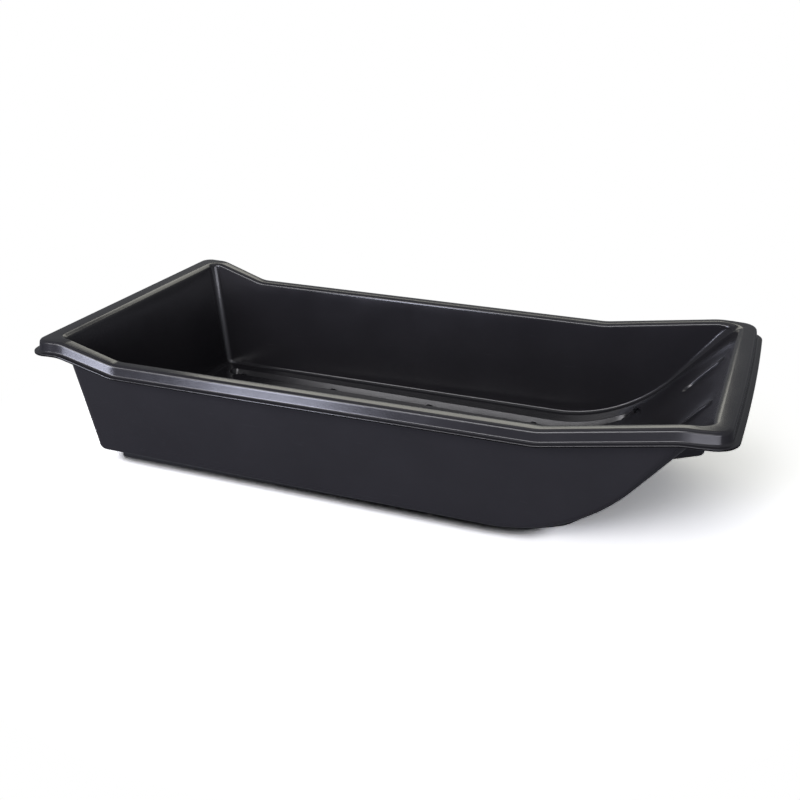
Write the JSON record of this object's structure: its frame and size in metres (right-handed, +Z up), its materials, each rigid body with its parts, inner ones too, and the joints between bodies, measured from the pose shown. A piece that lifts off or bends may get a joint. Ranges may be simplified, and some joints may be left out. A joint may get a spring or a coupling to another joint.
{
  "type": "ice fishing sled",
  "caption": "Moulded utility tow sled: an open tub with an upswept nose and a turned-down lip, running on two bolted wear bars, with hitch pockets under the nose.",
  "frame": {"origin": "middle of the sled's overall box, at the level of the surface that the wear bars stand on", "axes": "+X towards the upswept nose, +Y to the left side, +Z up"},
  "size_m": [1.428, 0.71, 0.2983],
  "materials": {
    "tub_polyethylene": "satin black moulded polyethylene",
    "bar_plastic": "matt black wear-resistant polyethylene",
    "fastener_steel": "black-oxide steel"
  },
  "bodies": {
    "root": {"tub": "tub_polyethylene", "wear_bar_left": "bar_plastic", "bar_screw_left_1": "fastener_steel", "bar_washer_left_1": "fastener_steel", "bar_nut_left_1": "fastener_steel", "bar_screw_left_2": "fastener_steel", "bar_washer_left_2": "fastener_steel", "bar_nut_left_2": "fastener_steel", "bar_screw_left_3": "fastener_steel", "bar_washer_left_3": "fastener_steel", "bar_nut_left_3": "fastener_steel", "bar_screw_left_4": "fastener_steel", "bar_washer_left_4": "fastener_steel", "bar_nut_left_4": "fastener_steel", "bar_screw_left_5": "fastener_steel", "bar_washer_left_5": "fastener_steel", "bar_nut_left_5": "fastener_steel", "wear_bar_right": "bar_plastic", "bar_screw_right_1": "fastener_steel", "bar_washer_right_1": "fastener_steel", "bar_nut_right_1": "fastener_steel", "bar_screw_right_2": "fastener_steel", "bar_washer_right_2": "fastener_steel", "bar_nut_right_2": "fastener_steel", "bar_screw_right_3": "fastener_steel", "bar_washer_right_3": "fastener_steel", "bar_nut_right_3": "fastener_steel", "bar_screw_right_4": "fastener_steel", "bar_washer_right_4": "fastener_steel", "bar_nut_right_4": "fastener_steel", "bar_screw_right_5": "fastener_steel", "bar_washer_right_5": "fastener_steel", "bar_nut_right_5": "fastener_steel"}
  },
  "joints": []
}
